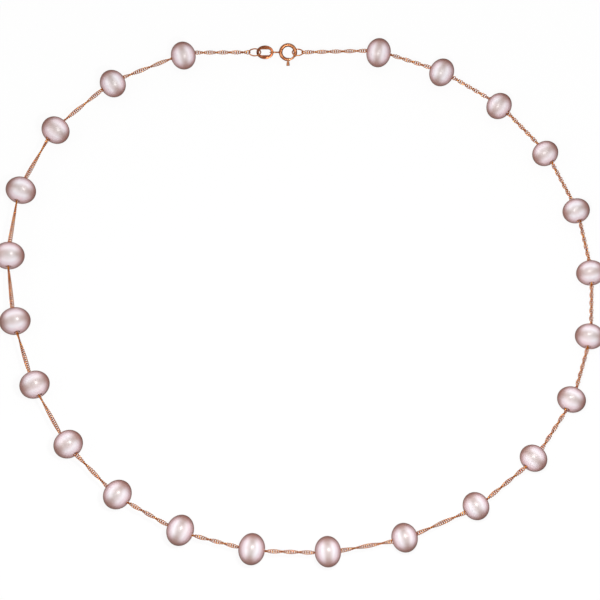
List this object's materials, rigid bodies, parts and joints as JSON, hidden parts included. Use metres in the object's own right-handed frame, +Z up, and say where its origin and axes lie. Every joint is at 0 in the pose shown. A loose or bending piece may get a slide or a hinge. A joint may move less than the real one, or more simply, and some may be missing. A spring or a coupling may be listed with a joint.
{
  "type": "pearl station necklace",
  "caption": "Clasped station necklace: drilled freshwater pearls cemented along a fine twisted curb chain in rose gold, closed by a spring ring with an oval end tag.",
  "frame": {"origin": "middle of the loop, on the level surface the pearls rest on", "axes": "+Z up from that surface, +Y from the front pearl towards the clasp, +X to the right of someone facing the clasp from the front pearl"},
  "size_m": [0.1537, 0.1489, 0.008],
  "materials": {
    "pearl": "pearl lustre",
    "chain_gold": "polished rose gold",
    "clasp_gold": "polished rose gold",
    "spring_steel": "plain drawn wire"
  },
  "bodies": {
    "front_pearl": {"pearl_12": "pearl", "chain_12": "chain_gold", "chain_13": "chain_gold"},
    "left_01": {"pearl_11": "pearl", "chain_11": "chain_gold"},
    "right_01": {"pearl_13": "pearl", "chain_14": "chain_gold"},
    "left_02": {"pearl_10": "pearl", "chain_10": "chain_gold"},
    "right_02": {"pearl_14": "pearl", "chain_15": "chain_gold"},
    "left_03": {"pearl_09": "pearl", "chain_09": "chain_gold"},
    "right_03": {"pearl_15": "pearl", "chain_16": "chain_gold"},
    "left_04": {"pearl_08": "pearl", "chain_08": "chain_gold"},
    "right_04": {"pearl_16": "pearl", "chain_17": "chain_gold"},
    "left_05": {"pearl_07": "pearl", "chain_07": "chain_gold"},
    "right_05": {"pearl_17": "pearl", "chain_18": "chain_gold"},
    "left_06": {"pearl_06": "pearl", "chain_06": "chain_gold"},
    "right_06": {"pearl_18": "pearl", "chain_19": "chain_gold"},
    "left_07": {"pearl_05": "pearl", "chain_05": "chain_gold"},
    "right_07": {"pearl_19": "pearl", "chain_20": "chain_gold"},
    "left_08": {"pearl_04": "pearl", "chain_04": "chain_gold"},
    "right_08": {"pearl_20": "pearl", "chain_21": "chain_gold"},
    "left_09": {"pearl_03": "pearl", "chain_03": "chain_gold"},
    "right_09": {"pearl_21": "pearl", "chain_22": "chain_gold"},
    "left_10": {"pearl_02": "pearl", "chain_02": "chain_gold"},
    "right_10": {"pearl_22": "pearl", "chain_23": "chain_gold"},
    "left_11": {"pearl_01": "pearl", "chain_01": "chain_gold"},
    "right_11": {"pearl_23": "pearl", "chain_24": "chain_gold"},
    "tag_ring": {"tag_jump_ring": "clasp_gold"},
    "tag": {"end_tag": "clasp_gold"},
    "clasp": {"clasp_case": "clasp_gold", "clasp_eyelet": "clasp_gold", "clasp_spring": "spring_steel"},
    "trigger": {"clasp_trigger": "clasp_gold"},
    "catch_ring": {"catch_ring": "clasp_gold"}
  },
  "joints": [
    {"name": "fold_01_left", "type": "hinge", "parent": "front_pearl", "child": "left_01", "pos_m": [-0.00836, -0.07289, 0.00392], "axis": [0.9962, 0.0864, -0.0089], "range_deg": [-15, 15]},
    {"name": "fold_01_right", "type": "hinge", "parent": "front_pearl", "child": "right_01", "pos_m": [0.02257, -0.07021, 0.00365], "axis": [0.9962, 0.0864, -0.0089], "range_deg": [-15.5, 15.5]},
    {"name": "fold_02_left", "type": "hinge", "parent": "left_01", "child": "left_02", "pos_m": [-0.02595, -0.06866, 0.00389], "axis": [0.9956, 0.0933, -0.0054], "range_deg": [-15, 15]},
    {"name": "fold_02_right", "type": "hinge", "parent": "right_01", "child": "right_02", "pos_m": [0.04044, -0.06245, 0.00353], "axis": [0.9956, 0.0933, -0.0054], "range_deg": [-15.5, 15.5]},
    {"name": "fold_03_left", "type": "hinge", "parent": "left_02", "child": "left_03", "pos_m": [-0.04182, -0.05983, 0.0038], "axis": [0.9951, 0.0992, -0.0026], "range_deg": [-15, 15]},
    {"name": "fold_03_right", "type": "hinge", "parent": "right_02", "child": "right_03", "pos_m": [0.05541, -0.05014, 0.00355], "axis": [0.9951, 0.0992, -0.0026], "range_deg": [-15.5, 15.5]},
    {"name": "fold_04_left", "type": "hinge", "parent": "left_03", "child": "left_04", "pos_m": [-0.0548, -0.04676, 0.00375], "axis": [0.9949, 0.1008, -0.0009], "range_deg": [-15, 15]},
    {"name": "fold_04_right", "type": "hinge", "parent": "right_03", "child": "right_04", "pos_m": [0.06593, -0.03452, 0.00364], "axis": [0.9949, 0.1008, -0.0009], "range_deg": [-15.5, 15.5]},
    {"name": "fold_05_left", "type": "hinge", "parent": "left_04", "child": "left_05", "pos_m": [-0.06419, -0.03078, 0.00382], "axis": [0.9951, 0.0994, -0.0009], "range_deg": [-15, 15]},
    {"name": "fold_05_right", "type": "hinge", "parent": "right_04", "child": "right_05", "pos_m": [0.07172, -0.0172, 0.0037], "axis": [0.9951, 0.0994, -0.0009], "range_deg": [-15.5, 15.5]},
    {"name": "fold_06_left", "type": "hinge", "parent": "left_05", "child": "left_06", "pos_m": [-0.07023, -0.01327, 0.00395], "axis": [0.9952, 0.0973, -0.0021], "range_deg": [-15, 15]},
    {"name": "fold_06_right", "type": "hinge", "parent": "right_05", "child": "right_06", "pos_m": [0.07329, 0.00077, 0.00364], "axis": [0.9952, 0.0973, -0.0021], "range_deg": [-15.5, 15.5]},
    {"name": "fold_07_left", "type": "hinge", "parent": "left_06", "child": "left_07", "pos_m": [-0.07304, 0.00522, 0.004], "axis": [0.9956, 0.0939, -0.0033], "range_deg": [-15, 15]},
    {"name": "fold_07_right", "type": "hinge", "parent": "right_06", "child": "right_07", "pos_m": [0.0709, 0.01879, 0.00352], "axis": [0.9956, 0.0939, -0.0033], "range_deg": [-15.5, 15.5]},
    {"name": "fold_08_left", "type": "hinge", "parent": "left_07", "child": "left_08", "pos_m": [-0.07154, 0.0243, 0.00392], "axis": [0.9964, 0.085, -0.0034], "range_deg": [-15, 15]},
    {"name": "fold_08_right", "type": "hinge", "parent": "right_07", "child": "right_08", "pos_m": [0.06429, 0.03589, 0.00345], "axis": [0.9964, 0.085, -0.0034], "range_deg": [-15.5, 15.5]},
    {"name": "fold_09_left", "type": "hinge", "parent": "left_08", "child": "left_09", "pos_m": [-0.06419, 0.04255, 0.00376], "axis": [0.9978, 0.0669, -0.002], "range_deg": [-15, 15]},
    {"name": "fold_09_right", "type": "hinge", "parent": "right_08", "child": "right_09", "pos_m": [0.05347, 0.05043, 0.00352], "axis": [0.9978, 0.0669, -0.002], "range_deg": [-15.5, 15.5]},
    {"name": "fold_10_left", "type": "hinge", "parent": "left_09", "child": "left_10", "pos_m": [-0.05064, 0.05735, 0.00364], "axis": [0.9992, 0.0411, 0.0004], "range_deg": [-15, 15]},
    {"name": "fold_10_right", "type": "hinge", "parent": "right_09", "child": "right_10", "pos_m": [0.03941, 0.06105, 0.00368], "axis": [0.9992, 0.0411, 0.0004], "range_deg": [-15.5, 15.5]},
    {"name": "fold_11_left", "type": "hinge", "parent": "left_10", "child": "left_11", "pos_m": [-0.03299, 0.06667, 0.00364], "axis": [0.9998, 0.0189, 0.0029], "range_deg": [-15, 15]},
    {"name": "fold_11_right", "type": "hinge", "parent": "right_10", "child": "right_11", "pos_m": [0.02352, 0.06773, 0.0038], "axis": [0.9998, 0.0189, 0.0029], "range_deg": [-15.5, 15.5]},
    {"name": "tag_ring_roll", "type": "hinge", "parent": "left_11", "child": "tag_ring", "pos_m": [-0.01305, 0.0695, 0.0021], "axis": [1, 0, 0], "range_deg": [-2, 6]},
    {"name": "tag_roll", "type": "hinge", "parent": "tag_ring", "child": "tag", "pos_m": [-0.01001, 0.0695, 0.0021], "axis": [1, 0, 0], "range_deg": [-2, 8]},
    {"name": "clasp_roll", "type": "hinge", "parent": "tag", "child": "clasp", "pos_m": [-0.00756, 0.0695, 0.0021], "axis": [1, 0, 0], "range_deg": [-2, 8]},
    {"name": "trigger_slide", "type": "hinge", "parent": "clasp", "child": "trigger", "pos_m": [-0.00293, 0.0695, 0.0021], "axis": [0, -0.4848, 0.8746], "range_deg": [-40, 0], "stiffness_Nm_per_rad": 0.002, "springref_deg": 10, "deforming": ["clasp_spring"]},
    {"name": "catch_ring_swing", "type": "hinge", "parent": "right_11", "child": "catch_ring", "pos_m": [0.00094, 0.0695, 0.0021], "axis": [0, 0.3746, 0.9272], "range_deg": [-4, 4]}
  ],
  "couplings": [
    {"joint": "fold_01_right", "follows": "fold_01_left", "ratio": 1},
    {"joint": "fold_02_right", "follows": "fold_02_left", "ratio": 1},
    {"joint": "fold_03_right", "follows": "fold_03_left", "ratio": 1},
    {"joint": "fold_04_right", "follows": "fold_04_left", "ratio": 1},
    {"joint": "fold_05_right", "follows": "fold_05_left", "ratio": 1},
    {"joint": "fold_06_right", "follows": "fold_06_left", "ratio": 1},
    {"joint": "fold_07_right", "follows": "fold_07_left", "ratio": 1},
    {"joint": "fold_08_right", "follows": "fold_08_left", "ratio": 1},
    {"joint": "fold_09_right", "follows": "fold_09_left", "ratio": 1},
    {"joint": "fold_10_right", "follows": "fold_10_left", "ratio": 1},
    {"joint": "fold_11_right", "follows": "fold_11_left", "ratio": 1}
  ]
}
